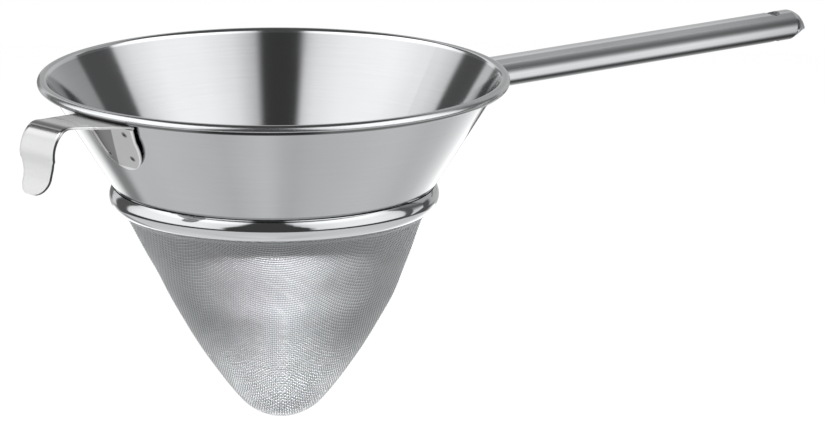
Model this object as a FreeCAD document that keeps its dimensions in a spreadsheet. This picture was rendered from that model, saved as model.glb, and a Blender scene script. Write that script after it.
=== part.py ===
import FreeCAD, Part
import Sketcher
import math
import os
import re

# Chinois (bouillon strainer): a flared steel collar with a rolled rim, a bead ring that clamps a woven
# mesh bag to the collar's foot, a tube handle and a pot hook. Millimetres.
# The origin is on the collar's axis in the plane of the rim's top, +Z up, +X along the handle.
# The hook is opposite the handle, at -X. Depths are measured down from the rim.

# Driving sizes. Angles are in degrees and have names that end in angle.
SIZES = {
    # collar
    "rim_outer_radius": 100.0,
    "curl_radius": 2.15,
    "curl_end_angle": 225.0,
    "collar_sheet": 0.8,
    "cone_angle": 32.1,
    # fits between pieces that are pressed or welded together, and how far cuts run past a face
    "seat_gap": 0.25,
    "cut_overrun": 5.0,
    # bead ring at the foot and the wire inside it
    "ring_depth": 51.25,
    "foot_below_ring": 0.55,
    "ring_section_radius": 5.9,
    "ring_wall": 0.8,
    "edge_wire_radius": 0.8,
    # mesh bag
    "bag_sheet": 1.0,
    "bag_length": 98.05,
    "bag_waist_share": 0.395,
    "bag_waist_radius": 49.0,
    "bag_belly_radius": 182.0,
    "bag_tip_radius": 17.5,
    "bag_tip_height": 8.8,
    # the bag leans: below its neck its axis moves sideways, in a direction turned from +X towards -Y
    "bag_neck_length": 8.0,
    "bag_lean": 2.0,
    "bag_lean_angle": 43.9,
    # handle, whose solid end is pressed down towards its underside
    "handle_depth": 14.57,
    "handle_droop_angle": 1.69,
    "handle_reach": 331.4,
    "handle_radius": 6.9,
    "handle_wall": 1.2,
    "end_length": 11.4,
    "end_drop": 2.6,
    "end_tip_radius": 0.9,
    "end_near_share": 0.35,
    "end_near_radius_share": 0.8,
    "end_near_drop_share": 0.05,
    "end_far_share": 0.7,
    "end_far_radius_share": 0.47,
    "end_far_drop_share": 0.38,
    "hang_hole_radius": 3.6,
    "hang_hole_inset": 22.0,
    "hang_hole_wall": 4.0,
    "weld_leg": 3.0,
    # hook
    "hook_sheet": 1.2,
    "hook_reach": 131.7,
    "hook_half_width": 10.7,
    "hook_drop": 30.5,
    "drop_half_width": 8.6,
    "hook_root_half_width": 17.5,
    "arm_rise_angle": 5.5,
    "fold_radius": 2.0,
    "bend_radius": 11.5,
    "bend_tuck_angle": 9.0,
    "wave_radius": 22.0,
    "wave_flare_angle": 34.0,
    "tab_half_width": 14.5,
    "tab_depth": 27.8,
    # spot welds in the hook's tab
    "spot_radius": 1.7,
    "spot_dimple": 0.25,
    "spot_upper_depth": 9.6,
    "spot_upper_half_spacing": 10.4,
    "spot_lower_depth": 21.5,
    "spot_lower_half_spacing": 7.0,
}

# Sizes that follow from the driving ones.
DERIVED = {
    # the collar's outer wall runs tangent into the bore of the rim curl
    "curl_centre_radius": "rim_outer_radius - curl_radius",
    "curl_bore_radius": "curl_radius - collar_sheet",
    "rim_wire_radius": "curl_bore_radius - seat_gap",
    "wall_top_radius": "curl_centre_radius - curl_bore_radius * cos(cone_angle)",
    "wall_top_depth": "curl_radius - curl_bore_radius * sin(cone_angle)",
    "wall_rim_radius": "wall_top_radius + wall_top_depth * tan(cone_angle)",
    # the collar's foot ends inside the ring, just below the ring's centre
    "collar_foot_depth": "ring_depth + foot_below_ring",
    "foot_radius": "wall_rim_radius - collar_foot_depth * tan(cone_angle)",
    # from the collar's wall outwards, level with the ring's centre: wire, mesh, ring
    "ring_wall_radius": "wall_rim_radius - ring_depth * tan(cone_angle)",
    "edge_wire_stand": "(edge_wire_radius + seat_gap) / cos(cone_angle)",
    "edge_wire_centre_radius": "ring_wall_radius + edge_wire_stand",
    "bag_mouth_inner_radius": "edge_wire_centre_radius + edge_wire_stand",
    "bag_mouth_radius": "bag_mouth_inner_radius + bag_sheet",
    "bag_depth": "ring_depth + bag_length",
    "bag_waist_depth": "ring_depth + bag_length * bag_waist_share",
    "bag_tip_depth": "bag_depth - bag_tip_height",
    "bag_mouth_angle":
        "atan((bag_mouth_radius - bag_waist_radius) / (bag_waist_depth - ring_depth)) / 1deg",
    "bag_neck_depth": "ring_depth + bag_neck_length",
    "bag_neck_radius": "bag_mouth_radius - bag_neck_length * tan(bag_mouth_angle)",
    "bag_lean_x": "bag_lean * cos(bag_lean_angle)",
    "bag_lean_y": "-bag_lean * sin(bag_lean_angle)",
    "ring_bore_radius": "ring_section_radius - ring_wall",
    "ring_centre_radius": "bag_mouth_radius + seat_gap - ring_bore_radius",
    # how far the slits of the ring lie from the centre of its section
    "collar_slit_outer": "(ring_wall_radius - ring_centre_radius) * cos(cone_angle) + seat_gap",
    "collar_slit_inner": "collar_slit_outer - collar_sheet - 2 * seat_gap",
    "mesh_slit_outer": "(bag_mouth_radius - ring_centre_radius) * cos(bag_mouth_angle) + seat_gap",
    "mesh_slit_inner":
        "(bag_mouth_inner_radius - ring_centre_radius) * cos(bag_mouth_angle) - seat_gap",
    # rounded tip of the bag, outer and inner face
    "bag_tip_inner_radius": "bag_tip_radius - bag_sheet",
    "bag_tip_inner_height": "bag_tip_height - bag_sheet",
    "bag_tip_sphere": "(bag_tip_radius ^ 2 + bag_tip_height ^ 2) / (2 * bag_tip_height)",
    "bag_tip_inner_sphere":
        "(bag_tip_inner_radius ^ 2 + bag_tip_inner_height ^ 2) / (2 * bag_tip_inner_height)",
    # handle: where its bore ends, short of the hanging hole, and where its end begins to narrow
    "hang_hole_place": "handle_reach - hang_hole_inset",
    "bore_end": "hang_hole_place - hang_hole_radius - hang_hole_wall",
    "end_start": "handle_reach - end_length",
    # hook: faces of the tab and of the arm, and the corners where they would meet
    "tab_inner_rim_radius": "wall_rim_radius + seat_gap / cos(cone_angle)",
    "tab_outer_rim_radius": "tab_inner_rim_radius + hook_sheet / cos(cone_angle)",
    "arm_top_depth": "2 * curl_radius + seat_gap",
    "arm_base_depth": "arm_top_depth + hook_sheet / cos(arm_rise_angle)",
    "arm_climb": "tan(cone_angle) * tan(arm_rise_angle)",
    "fold_top_radius": "(tab_inner_rim_radius - tan(cone_angle) * arm_top_depth"
                       " - arm_climb * curl_centre_radius) / (1 - arm_climb)",
    "fold_top_depth": "arm_top_depth - (fold_top_radius - curl_centre_radius) * tan(arm_rise_angle)",
    "fold_base_radius": "(tab_outer_rim_radius - tan(cone_angle) * arm_base_depth"
                        " - arm_climb * curl_centre_radius) / (1 - arm_climb)",
    "fold_base_depth":
        "arm_base_depth - (fold_base_radius - curl_centre_radius) * tan(arm_rise_angle)",
    "fold_half_turn_angle": "(90 - cone_angle - arm_rise_angle) / 2",
    "fold_top_run": "(fold_radius + hook_sheet) * tan(fold_half_turn_angle)",
    "fold_base_run": "fold_radius * tan(fold_half_turn_angle)",
    # hook: centres of the bend and of the wave below it
    "bend_centre_radius": "hook_reach - bend_radius",
    "bend_start_radius": "bend_centre_radius - bend_radius * sin(arm_rise_angle)",
    "bend_centre_depth":
        "arm_top_depth - (bend_start_radius - curl_centre_radius) * tan(arm_rise_angle)"
        " + bend_radius * cos(arm_rise_angle)",
    "bend_inner_radius": "bend_radius - hook_sheet",
    "wave_centre_radius": "bend_centre_radius + (bend_radius + wave_radius) * cos(bend_tuck_angle)",
    "wave_centre_depth": "bend_centre_depth + (bend_radius + wave_radius) * sin(bend_tuck_angle)",
    "wave_inner_radius": "wave_radius + hook_sheet",
}

doc = FreeCAD.newDocument("chinois_strainer")
sheet = doc.addObject("Spreadsheet::Sheet", "sizes")
cells = {name: str(size) for name, size in SIZES.items()}
cells.update({name: "=" + formula for name, formula in DERIVED.items()})
for row, (name, text) in enumerate(cells.items(), start=1):
    sheet.set(f"A{row}", name)
    sheet.set(f"B{row}", text)
    sheet.setAlias(f"B{row}", name)
doc.recompute()


def value(expression):
    """The number that an expression in sheet names gives."""
    return float(sheet.evalExpression(expression))


def bound(expression):
    """The same expression, as the other objects of the document read it."""
    return re.sub("[a-z_]+", lambda found: ("sizes." if found[0] in cells else "") + found[0], expression)


def bind(target, **expressions):
    """Ties properties of an object to the sheet; a double underscore stands for a dot."""
    for path, expression in expressions.items():
        target.setExpression(path.replace("__", "."), bound(expression))


def place(target, x="0", y="0", z="0", axis=None, angle="0"):
    """Ties an object's place, and its turn about one axis, to the sheet."""
    if axis:
        target.Placement = FreeCAD.Placement(FreeCAD.Vector(), FreeCAD.Rotation(axis, value(angle)))
        bind(target, Placement__Rotation__Angle=angle)
    bind(target, Placement__Base__x=x, Placement__Base__y=y, Placement__Base__z=z)


def new_body(label):
    body = doc.addObject("PartDesign::Body", label)
    body.Label = label
    return body


def new_sketch(body, role, name, offset="0", shift="0"):
    """A sketch on one of the body's own origin planes, or off it and shifted along its own X."""
    plane = next(feature for feature in body.Origin.OriginFeatures if feature.Role == role)
    sketch = body.newObject("Sketcher::SketchObject", name)
    sketch.AttachmentSupport = [(plane, "")]
    sketch.MapMode = "FlatFace"
    bind(sketch, AttachmentOffset__Base__x=shift, AttachmentOffset__Base__z=offset)
    return sketch


def polar(centre_x, centre_y, radius, angle):
    """A point given by its distance and direction from a centre, as two expressions."""
    return f"{centre_x} + ({radius}) * cos({angle})", f"{centre_y} + ({radius}) * sin({angle})"


def arc_between(start, end, radius, way):
    """A circle's arc from start to end; way is ccw or cw, with a leading long past half a turn."""
    chord = end - start
    rise = math.sqrt(max(radius ** 2 - chord.Length ** 2 / 4, 0))
    left = FreeCAD.Vector(-chord.y, chord.x, 0).normalize()
    centre = start + chord / 2 + left * (rise if way in ("ccw", "long cw") else -rise)
    first, last = (start, end) if way.endswith("ccw") else (end, start)
    from_angle = math.atan2(first.y - centre.y, first.x - centre.x)
    to_angle = math.atan2(last.y - centre.y, last.x - centre.x)
    circle = Part.Circle(centre, FreeCAD.Vector(0, 0, 1), radius)
    return Part.ArcOfCircle(circle, from_angle, to_angle if to_angle > from_angle else to_angle + math.tau)


def tie(sketch, kind, *targets, to):
    """Adds a constraint whose value is tied to the sheet."""
    number = sketch.addConstraint(Sketcher.Constraint(kind, *targets, value(to)))
    sketch.setExpression(f"Constraints[{number}]", bound(to))


def pin_point(sketch, point, x, y):
    """Fixes a point of a sketch by its distances from the sketch's axes."""
    for kind, axis, distance in (("DistanceX", -2, x), ("DistanceY", -1, y)):
        if distance == "0":
            sketch.addConstraint(Sketcher.Constraint("PointOnObject", *point, axis))
        else:
            tie(sketch, kind, -1, 1, *point, to=distance)


def draw(sketch, corners):
    """Draws a closed outline. Each corner is x, y and, where the edge to the next corner is round,
    that edge's radius and way. Every corner and radius is tied to the sheet."""
    points = [FreeCAD.Vector(value(corner[0]), value(corner[1]), 0) for corner in corners]
    starts = []
    ends = []
    for corner, start, end in zip(corners, points, points[1:] + points[:1]):
        if len(corner) == 2:
            edge = sketch.addGeometry(Part.LineSegment(start, end))
        else:
            edge = sketch.addGeometry(arc_between(start, end, value(corner[2]), corner[3]))
        # an arc always runs counter-clockwise, so on a clockwise edge its ends change places
        clockwise = len(corner) == 4 and not corner[3].endswith("ccw")
        starts.append((edge, 2 if clockwise else 1))
        ends.append((edge, 1 if clockwise else 2))
    for index, corner in enumerate(corners):
        sketch.addConstraint(Sketcher.Constraint("Coincident", *ends[index - 1], *starts[index]))
        pin_point(sketch, starts[index], corner[0], corner[1])
        if len(corner) == 4:
            tie(sketch, "Radius", starts[index][0], to=corner[2])


def draw_circle(sketch, x, y, radius):
    centre = FreeCAD.Vector(value(x), value(y), 0)
    circle = sketch.addGeometry(Part.Circle(centre, FreeCAD.Vector(0, 0, 1), value(radius)))
    pin_point(sketch, (circle, 3), x, y)
    tie(sketch, "Radius", circle, to=radius)


def spin(body, sketch, axis, name):
    """Revolves a sketch a full turn about one of its own axes."""
    revolution = body.newObject("PartDesign::Revolution", name)
    revolution.Profile = sketch
    revolution.ReferenceAxis = (sketch, [axis])
    revolution.Angle = 360


def cut_through(body, sketch, name):
    """Cuts a sketch right through its body, both ways from the sketch's plane."""
    pocket = body.newObject("PartDesign::Pocket", name)
    pocket.Profile = sketch
    pocket.SideType = "Symmetric"
    pocket.Type = "ThroughAll"


def wire_ring(label, radius, wire, depth):
    """A closed ring of round wire about the collar's axis."""
    ring = doc.addObject("Part::Torus", label)
    ring.Label = label
    bind(ring, Radius1=radius, Radius2=wire)
    place(ring, z=f"-{depth}")
    return ring


def boolean(kind, label, base, tool):
    result = doc.addObject(kind, label)
    result.Label = label
    result.Base = base
    result.Tool = tool
    return result


# Collar: a cone of sheet whose top is rolled outwards round the rim wire.
def make_collar():
    body = new_body("collar")
    sketch = new_sketch(body, "XZ_Plane", "collar_section")
    curl = ("curl_centre_radius", "-curl_radius")
    draw(sketch, [
        ("foot_radius - collar_sheet * cos(cone_angle)",
         "-collar_foot_depth + collar_sheet * sin(cone_angle)"),
        (*polar(*curl, "curl_radius", "180 - cone_angle"), "curl_radius", "long cw"),
        polar(*curl, "curl_radius", "curl_end_angle"),
        (*polar(*curl, "curl_bore_radius", "curl_end_angle"), "curl_bore_radius", "long ccw"),
        ("wall_top_radius", "-wall_top_depth"),
        ("foot_radius", "-collar_foot_depth"),
    ])
    spin(body, sketch, "V_Axis", "collar_spinning")
    return body


# Bead ring: two pressed half rings that close over the collar's foot and the edge of the mesh. Their
# lips lie along the collar's wall at the top and along the mesh at the bottom.
def ring_lip(radius, slope, slit, side):
    """Where a slit's edge crosses a circle of the ring's section; side + is its top, - its bottom."""
    direction = f"(-{slope} {side} acos({slit} / {radius}) / 1deg)"
    return polar("ring_centre_radius", "-ring_depth", radius, direction)


def make_ring_half(label, collar_slit, mesh_slit, ways):
    body = new_body(label)
    sketch = new_sketch(body, "XZ_Plane", label + "_section")
    face_way, bore_way = ways
    draw(sketch, [
        (*ring_lip("ring_section_radius", "cone_angle", collar_slit, "+"),
         "ring_section_radius", face_way),
        ring_lip("ring_section_radius", "bag_mouth_angle", mesh_slit, "-"),
        (*ring_lip("ring_bore_radius", "bag_mouth_angle", mesh_slit, "-"),
         "ring_bore_radius", bore_way),
        ring_lip("ring_bore_radius", "cone_angle", collar_slit, "+"),
    ])
    spin(body, sketch, "V_Axis", label + "_rolling")
    return body


# Mesh bag: the woven bag as one thin shell, clamped at its mouth, straight to its waist, then rounding
# in to the tip. From the neck to the waist it leans to one side. Its wall is measured level.
def bag_round(body, name, depth, radius, x="0", y="0"):
    """A level circle of the bag."""
    sketch = new_sketch(body, "XY_Plane", name, offset=f"-{depth}")
    draw_circle(sketch, x, y, radius)
    return sketch


def bag_slope(body, kind, name, inset):
    """The bag's leaning stretch, added or cut away, at an inset from its outer face."""
    slope = body.newObject(kind, name)
    slope.Profile = bag_round(body, name + "_neck", "bag_neck_depth", f"bag_neck_radius - {inset}")
    slope.Sections = [bag_round(body, name + "_waist", "bag_waist_depth", f"bag_waist_radius - {inset}",
                                "bag_lean_x", "bag_lean_y")]


def make_mesh_bag():
    body = new_body("mesh_bag")
    sketch = new_sketch(body, "XZ_Plane", "neck_section")
    draw(sketch, [
        ("bag_mouth_radius", "-ring_depth"),
        ("bag_neck_radius", "-bag_neck_depth"),
        ("bag_neck_radius - bag_sheet", "-bag_neck_depth"),
        ("bag_mouth_inner_radius", "-ring_depth"),
    ])
    spin(body, sketch, "V_Axis", "neck_drawing")
    bag_slope(body, "PartDesign::AdditiveLoft", "slope_outside", "0")
    bag_slope(body, "PartDesign::SubtractiveLoft", "slope_inside", "bag_sheet")
    sketch = new_sketch(body, "XZ_Plane", "bag_section", offset="-bag_lean_y", shift="bag_lean_x")
    draw(sketch, [
        ("bag_waist_radius", "-bag_waist_depth", "bag_belly_radius", "cw"),
        ("bag_tip_radius", "-bag_tip_depth", "bag_tip_sphere", "cw"),
        ("0", "-bag_depth"),
        ("0", "-bag_depth + bag_sheet", "bag_tip_inner_sphere", "ccw"),
        ("bag_tip_inner_radius", "-bag_tip_depth", "bag_belly_radius", "ccw"),
        ("bag_waist_radius - bag_sheet", "-bag_waist_depth"),
    ])
    spin(body, sketch, "V_Axis", "bag_drawing")
    return body


# Handle: a tube, cut at its root to the collar's cone. Its last stretch is solid, with a hanging hole,
# and narrows to a tip that lies below its axis.
ACROSS = FreeCAD.Vector(0, 1, 0)


def collar_cone(name, gap):
    """The solid that the collar's outer face encloses, grown by a gap."""
    cone = doc.addObject("Part::Cone", name)
    grown = f"({gap}) / cos(cone_angle)"
    bind(cone, Radius1=f"foot_radius + {grown}", Radius2=f"wall_rim_radius + {grown}",
         Height="collar_foot_depth")
    place(cone, z="-collar_foot_depth")
    return cone


def end_section(body, name, along, drop, radius):
    """A round section of the handle's narrowing end."""
    sketch = new_sketch(body, "YZ_Plane", name, offset=f"end_start + {along}")
    draw_circle(sketch, "0", drop, radius)
    return sketch


def make_handle():
    body = new_body("handle_blank")
    place(body, z="-handle_depth", axis=ACROSS, angle="handle_droop_angle")
    sketch = new_sketch(body, "XZ_Plane", "handle_section")
    draw(sketch, [
        ("ring_wall_radius", "handle_radius - handle_wall"),
        ("ring_wall_radius", "handle_radius"),
        ("end_start", "handle_radius"),
        ("end_start", "0"),
        ("bore_end", "0"),
        ("bore_end", "handle_radius - handle_wall"),
    ])
    spin(body, sketch, "H_Axis", "handle_drawing")
    sections = [
        end_section(body, "end_root", "0", "0", "handle_radius"),
        end_section(body, "end_near", "end_length * end_near_share", "-end_drop * end_near_drop_share",
                    "handle_radius * end_near_radius_share"),
        end_section(body, "end_far", "end_length * end_far_share", "-end_drop * end_far_drop_share",
                    "handle_radius * end_far_radius_share"),
        end_section(body, "end_tip", "end_length", "-end_drop", "end_tip_radius"),
    ]
    end = body.newObject("PartDesign::AdditiveLoft", "handle_end")
    end.Profile = sections[0]
    end.Sections = sections[1:]
    hole = new_sketch(body, "XY_Plane", "hang_hole_outline")
    draw_circle(hole, "hang_hole_place", "0", "hang_hole_radius")
    cut_through(body, hole, "hang_hole")
    return boolean("Part::Cut", "handle_tube", body, collar_cone("root_saddle", "seat_gap"))


# Weld: a bead of even thickness on the collar, round the root of the handle.
def handle_rod(name, radius):
    """A rod along the handle's axis, from inside the collar to beyond the weld."""
    rod = doc.addObject("Part::Cylinder", name)
    bind(rod, Radius=radius, Height="rim_outer_radius + weld_leg - ring_wall_radius")
    place(rod, x="ring_wall_radius * cos(handle_droop_angle)",
          z="-handle_depth - ring_wall_radius * sin(handle_droop_angle)",
          axis=ACROSS, angle="90 + handle_droop_angle")
    return rod


def make_handle_weld():
    slab = boolean("Part::Cut", "weld_slab", collar_cone("weld_face", "seat_gap + weld_leg"),
                   collar_cone("weld_seat", "seat_gap"))
    disc = boolean("Part::Common", "weld_disc", slab, handle_rod("weld_edge", "handle_radius + weld_leg"))
    return boolean("Part::Cut", "handle_weld", disc, handle_rod("weld_bore", "handle_radius + seat_gap"))


# Hook: a strip bent from a tab on the collar, through a fold under the rim and a level arm, down into a
# waved drop. It is drawn along +X and turned half a turn about the collar's axis.
def round_end(body, name, start, length, root_half, root_depth, half, depth):
    """Trims an end of the strip, seen along its own X, to a half round of a given half width."""
    sketch = new_sketch(body, "YZ_Plane", name + "_outline", offset=start)
    side = f"{root_half} + cut_overrun"
    below = f"-{depth} - cut_overrun"
    shoulder = f"-{depth} + {half}"
    draw(sketch, [
        (f"-({side})", f"-{root_depth}"),
        (f"-({side})", below),
        (side, below),
        (side, f"-{root_depth}"),
        (root_half, f"-{root_depth}"),
        (half, shoulder, half, "cw"),
        ("0", f"-{depth}", half, "cw"),
        (f"-{half}", shoulder),
        (f"-{root_half}", f"-{root_depth}"),
    ])
    pocket = body.newObject("PartDesign::Pocket", name)
    pocket.Profile = sketch
    pocket.Reversed = True
    bind(pocket, Length=length)


def make_hook():
    body = new_body("hook_blank")
    body.Placement = FreeCAD.Placement(FreeCAD.Vector(), FreeCAD.Rotation(FreeCAD.Vector(0, 0, 1), 180))
    sketch = new_sketch(body, "XZ_Plane", "hook_section")
    bend = ("bend_centre_radius", "-bend_centre_depth")
    wave = ("wave_centre_radius", "-wave_centre_depth")
    arm = "90 + arm_rise_angle"
    tuck = "-bend_tuck_angle"
    flare = "180 + wave_flare_angle"
    draw(sketch, [
        ("tab_inner_rim_radius - tab_depth * tan(cone_angle)", "-tab_depth"),
        ("fold_top_radius - fold_top_run * sin(cone_angle)",
         "-fold_top_depth - fold_top_run * cos(cone_angle)", "fold_radius + hook_sheet", "cw"),
        ("fold_top_radius + fold_top_run * cos(arm_rise_angle)",
         "-fold_top_depth + fold_top_run * sin(arm_rise_angle)"),
        (*polar(*bend, "bend_radius", arm), "bend_radius", "cw"),
        (*polar(*bend, "bend_radius", tuck), "wave_radius", "ccw"),
        polar(*wave, "wave_radius", flare),
        (*polar(*wave, "wave_inner_radius", flare), "wave_inner_radius", "cw"),
        (*polar(*bend, "bend_inner_radius", tuck), "bend_inner_radius", "ccw"),
        polar(*bend, "bend_inner_radius", arm),
        ("fold_base_radius + fold_base_run * cos(arm_rise_angle)",
         "-fold_base_depth + fold_base_run * sin(arm_rise_angle)", "fold_radius", "ccw"),
        ("fold_base_radius - fold_base_run * sin(cone_angle)",
         "-fold_base_depth - fold_base_run * cos(cone_angle)"),
        ("tab_outer_rim_radius - tab_depth * tan(cone_angle)", "-tab_depth"),
    ])
    strip = body.newObject("PartDesign::Pad", "hook_strip")
    strip.Profile = sketch
    strip.SideType = "Symmetric"
    bind(strip, Length="2 * hook_root_half_width")
    # the arm narrows from the fold to the bend
    plan = new_sketch(body, "XY_Plane", "hook_plan")
    side = "hook_root_half_width + cut_overrun"
    beyond = "hook_reach + cut_overrun"
    draw(plan, [
        ("fold_top_radius", side),
        ("fold_top_radius", "hook_root_half_width"),
        ("bend_centre_radius", "hook_half_width"),
        (beyond, "hook_half_width"),
        (beyond, side),
    ])
    draw(plan, [
        ("fold_top_radius", f"-({side})"),
        (beyond, f"-({side})"),
        (beyond, "-hook_half_width"),
        ("bend_centre_radius", "-hook_half_width"),
        ("fold_top_radius", "-hook_root_half_width"),
    ])
    cut_through(body, plan, "hook_taper")
    round_end(body, "tab_end", "0", "fold_base_radius",
              "hook_root_half_width", "fold_base_depth", "tab_half_width", "tab_depth")
    round_end(body, "drop_end", "fold_base_radius", "hook_reach",
              "hook_half_width", "bend_centre_depth", "drop_half_width", "hook_drop")
    return body


# Spot welds: four nuggets square to the hook's tab, each a little below the tab's outer face.
def spot_rods(name, radius, length):
    spots = []
    for level in ("upper", "lower"):
        for side, sign in (("left", ""), ("right", "-")):
            spot = doc.addObject("Part::Cylinder", f"{name}_{level}_{side}")
            bind(spot, Radius=radius, Height=length)
            place(spot, x=f"-tab_inner_rim_radius + spot_{level}_depth * tan(cone_angle)",
                  y=f"{sign}spot_{level}_half_spacing", z=f"-spot_{level}_depth",
                  axis=-ACROSS, angle="90 + cone_angle")
            spots.append(spot)
    group = doc.addObject("Part::Compound", name)
    group.Label = name
    group.Links = spots
    return group


subparts = [
    make_collar(),
    wire_ring("rim_wire", "curl_centre_radius", "rim_wire_radius", "curl_radius"),
    make_ring_half("clamp_ring_outer", "collar_slit_outer", "mesh_slit_outer", ("cw", "ccw")),
    make_ring_half("clamp_ring_inner", "collar_slit_inner", "mesh_slit_inner", ("long ccw", "long cw")),
    wire_ring("mesh_edge_wire", "edge_wire_centre_radius", "edge_wire_radius", "ring_depth"),
    make_mesh_bag(),
    make_handle(),
    make_handle_weld(),
    boolean("Part::Cut", "pot_hook", make_hook(),
            spot_rods("spot_holes", "spot_radius + seat_gap", "hook_sheet")),
    spot_rods("hook_spot_welds", "spot_radius", "hook_sheet - spot_dimple"),
]
doc.recompute()

for item in doc.Objects:
    if "Invalid" in item.State or "Error" in item.State:
        raise RuntimeError(f"{item.Label} failed: {item.State}")
os.makedirs("parts", exist_ok=True)
for part in subparts:
    shape = part.Shape
    if shape.isNull() or not shape.isValid():
        raise RuntimeError(f"{part.Label} has no valid shape")
    print(f"{part.Label}: {len(shape.Solids)} solids, {shape.Volume:.1f} mm3")
    shape.exportStep(f"parts/{part.Label}.step")
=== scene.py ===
# %% [markdown]
# # A chinois strainer in polished steel
# A chinois is a fine conical strainer. Its steel sheet parts come from the CAD frame. This lesson gives
# them their finish, weaves the wire bag in place of the CAD's plain shell, shapes the hook and the welds in
# more detail, and lights everything like a studio photograph.

# %% Load the frame
import bmesh
import bpy
import math
from mathutils import Matrix, Vector


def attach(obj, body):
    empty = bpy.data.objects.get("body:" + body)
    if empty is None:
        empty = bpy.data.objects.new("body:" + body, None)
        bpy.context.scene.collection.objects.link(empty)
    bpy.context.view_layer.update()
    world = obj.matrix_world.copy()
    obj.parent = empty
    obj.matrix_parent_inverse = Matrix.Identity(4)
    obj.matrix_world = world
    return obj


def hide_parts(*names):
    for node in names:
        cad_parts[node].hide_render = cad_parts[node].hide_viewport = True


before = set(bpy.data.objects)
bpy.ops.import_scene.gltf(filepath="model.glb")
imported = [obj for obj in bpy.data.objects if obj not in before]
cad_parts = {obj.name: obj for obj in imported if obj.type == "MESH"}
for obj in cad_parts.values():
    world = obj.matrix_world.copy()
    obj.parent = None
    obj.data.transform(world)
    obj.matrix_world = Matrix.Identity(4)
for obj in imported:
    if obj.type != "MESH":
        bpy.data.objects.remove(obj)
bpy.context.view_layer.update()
scene = bpy.context.scene
MM = 0.001
print("CAD nodes:", sorted(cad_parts))

# %% [markdown]
# ## Small helpers
# A node tree is easier to read when one line makes a node, sets its sockets and links its inputs.
# `add_node` does that: a value given to a socket is either a plain value or another node's output to link.
# `output` gives the first output of such a node, and `add_sockets` gives a node group its inputs and outputs.

# %% Helpers for node trees
def add_node(tree, kind, settings=None, **inputs):
    """Adds a node. Settings are its properties. Inputs are named, with _ for a space, or numbered, as i0."""
    node = tree.nodes.new(kind)
    for name, value in (settings or {}).items():
        setattr(node, name, value)
    for name, value in inputs.items():
        key = int(name[1:]) if name[0] == "i" and name[1:].isdigit() else name.replace("_", " ")
        put(tree, node.inputs[key], value)
    return node


def put(tree, socket, value):
    """Links an output to a socket, or sets the socket's own value."""
    if isinstance(value, bpy.types.NodeSocket):
        tree.links.new(value, socket)
    else:
        socket.default_value = value


def output(tree, kind, settings=None, **inputs):
    """The first output of a new node."""
    return add_node(tree, kind, settings, **inputs).outputs[0]


def add_sockets(group, way, **kinds):
    """Adds inputs or outputs to a node group, as names and kinds of socket, with _ for a space."""
    for name, kind in kinds.items():
        group.interface.new_socket(name.replace("_", " "), in_out=way, socket_type="NodeSocket" + kind)


# %% [markdown]
# Sums are nodes too. These make one node for one operation and give its result.

# %% Helpers for sums
def operation_node(tree, kind, operation, values):
    """A node that has an operation, with its inputs in order."""
    node = add_node(tree, kind, {"operation": operation})
    for socket, value in zip(node.inputs, values):
        put(tree, socket, value)
    return node


def math_node(tree, operation, *values):
    """The result of a Math node."""
    return operation_node(tree, "ShaderNodeMath", operation, values).outputs[0]


def times(tree, first, second):
    """The product of two numbers."""
    return math_node(tree, "MULTIPLY", first, second)


def vector_node(tree, operation, *values):
    """The vector that a Vector Math node gives."""
    return operation_node(tree, "ShaderNodeVectorMath", operation, values).outputs["Vector"]


def vector_value(tree, operation, *values):
    """The number that a Vector Math node gives, such as a length."""
    return operation_node(tree, "ShaderNodeVectorMath", operation, values).outputs["Value"]


def scaled(tree, vector, factor):
    """A vector or a colour times a number."""
    node = operation_node(tree, "ShaderNodeVectorMath", "SCALE", (vector,))
    put(tree, node.inputs["Scale"], factor)
    return node.outputs["Vector"]


# %% [markdown]
# These read a place or a stored value and take vectors apart. Every mesh here stands at the origin, so its
# Object coordinates are places in the frame, in metres.

# %% Helpers for places
def object_place(tree):
    """The place of a point on its object."""
    return add_node(tree, "ShaderNodeTexCoord").outputs["Object"]


def parts_of(tree, vector):
    """The X, Y and Z of a vector."""
    return add_node(tree, "ShaderNodeSeparateXYZ", Vector=vector).outputs


def vector_of(tree, **parts):
    """A vector from its X, Y and Z."""
    return output(tree, "ShaderNodeCombineXYZ", **parts)


def level_part(tree, vector):
    """A vector without its height."""
    return vector_node(tree, "MULTIPLY", vector, (1, 1, 0))


def stored(tree, name):
    """A value that is stored on the mesh."""
    return add_node(tree, "ShaderNodeAttribute", {"attribute_name": name}).outputs["Fac"]


# %% [markdown]
# Four more helpers draw with numbers: a soft step, a band, a graph through points and a blend by a mask.
# The materials and the studio both use them.

# %% Helpers for levels
def soft_step(tree, value, start, end, low=0.0, high=1.0):
    """A soft change from one level to another."""
    return output(tree, "ShaderNodeMapRange", {"interpolation_type": "SMOOTHSTEP"}, Value=value,
                  i1=start, i2=end, i3=low, i4=high)


def band(tree, value, low, high, soft):
    """1 between two levels, falling softly to 0 outside them."""
    return times(tree, soft_step(tree, value, low - soft, low + soft),
                 soft_step(tree, value, high - soft, high + soft, 1.0, 0.0))


def graph(tree, value, points, top):
    """A curve through points of place and level, as a colour ramp. All its levels lie between 0 and top."""
    first, last = points[0][0], points[-1][0]
    share = output(tree, "ShaderNodeMapRange", Value=value, i1=float(first), i2=float(last))
    ramp = add_node(tree, "ShaderNodeValToRGB", Fac=share)
    stops = ramp.color_ramp.elements
    while len(stops) < len(points):
        stops.new(0.5)
    for stop, (place, level) in zip(stops, points):
        stop.position = (place - first) / (last - first)
        stop.color = (level / top, level / top, level / top, 1)
    return times(tree, ramp.outputs["Color"], top)


def blend(tree, level, other, mask):
    """Goes from one level to another where a mask is 1."""
    return output(tree, "ShaderNodeMix", {"data_type": "FLOAT"}, i0=mask, i2=level, i3=other)


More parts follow.
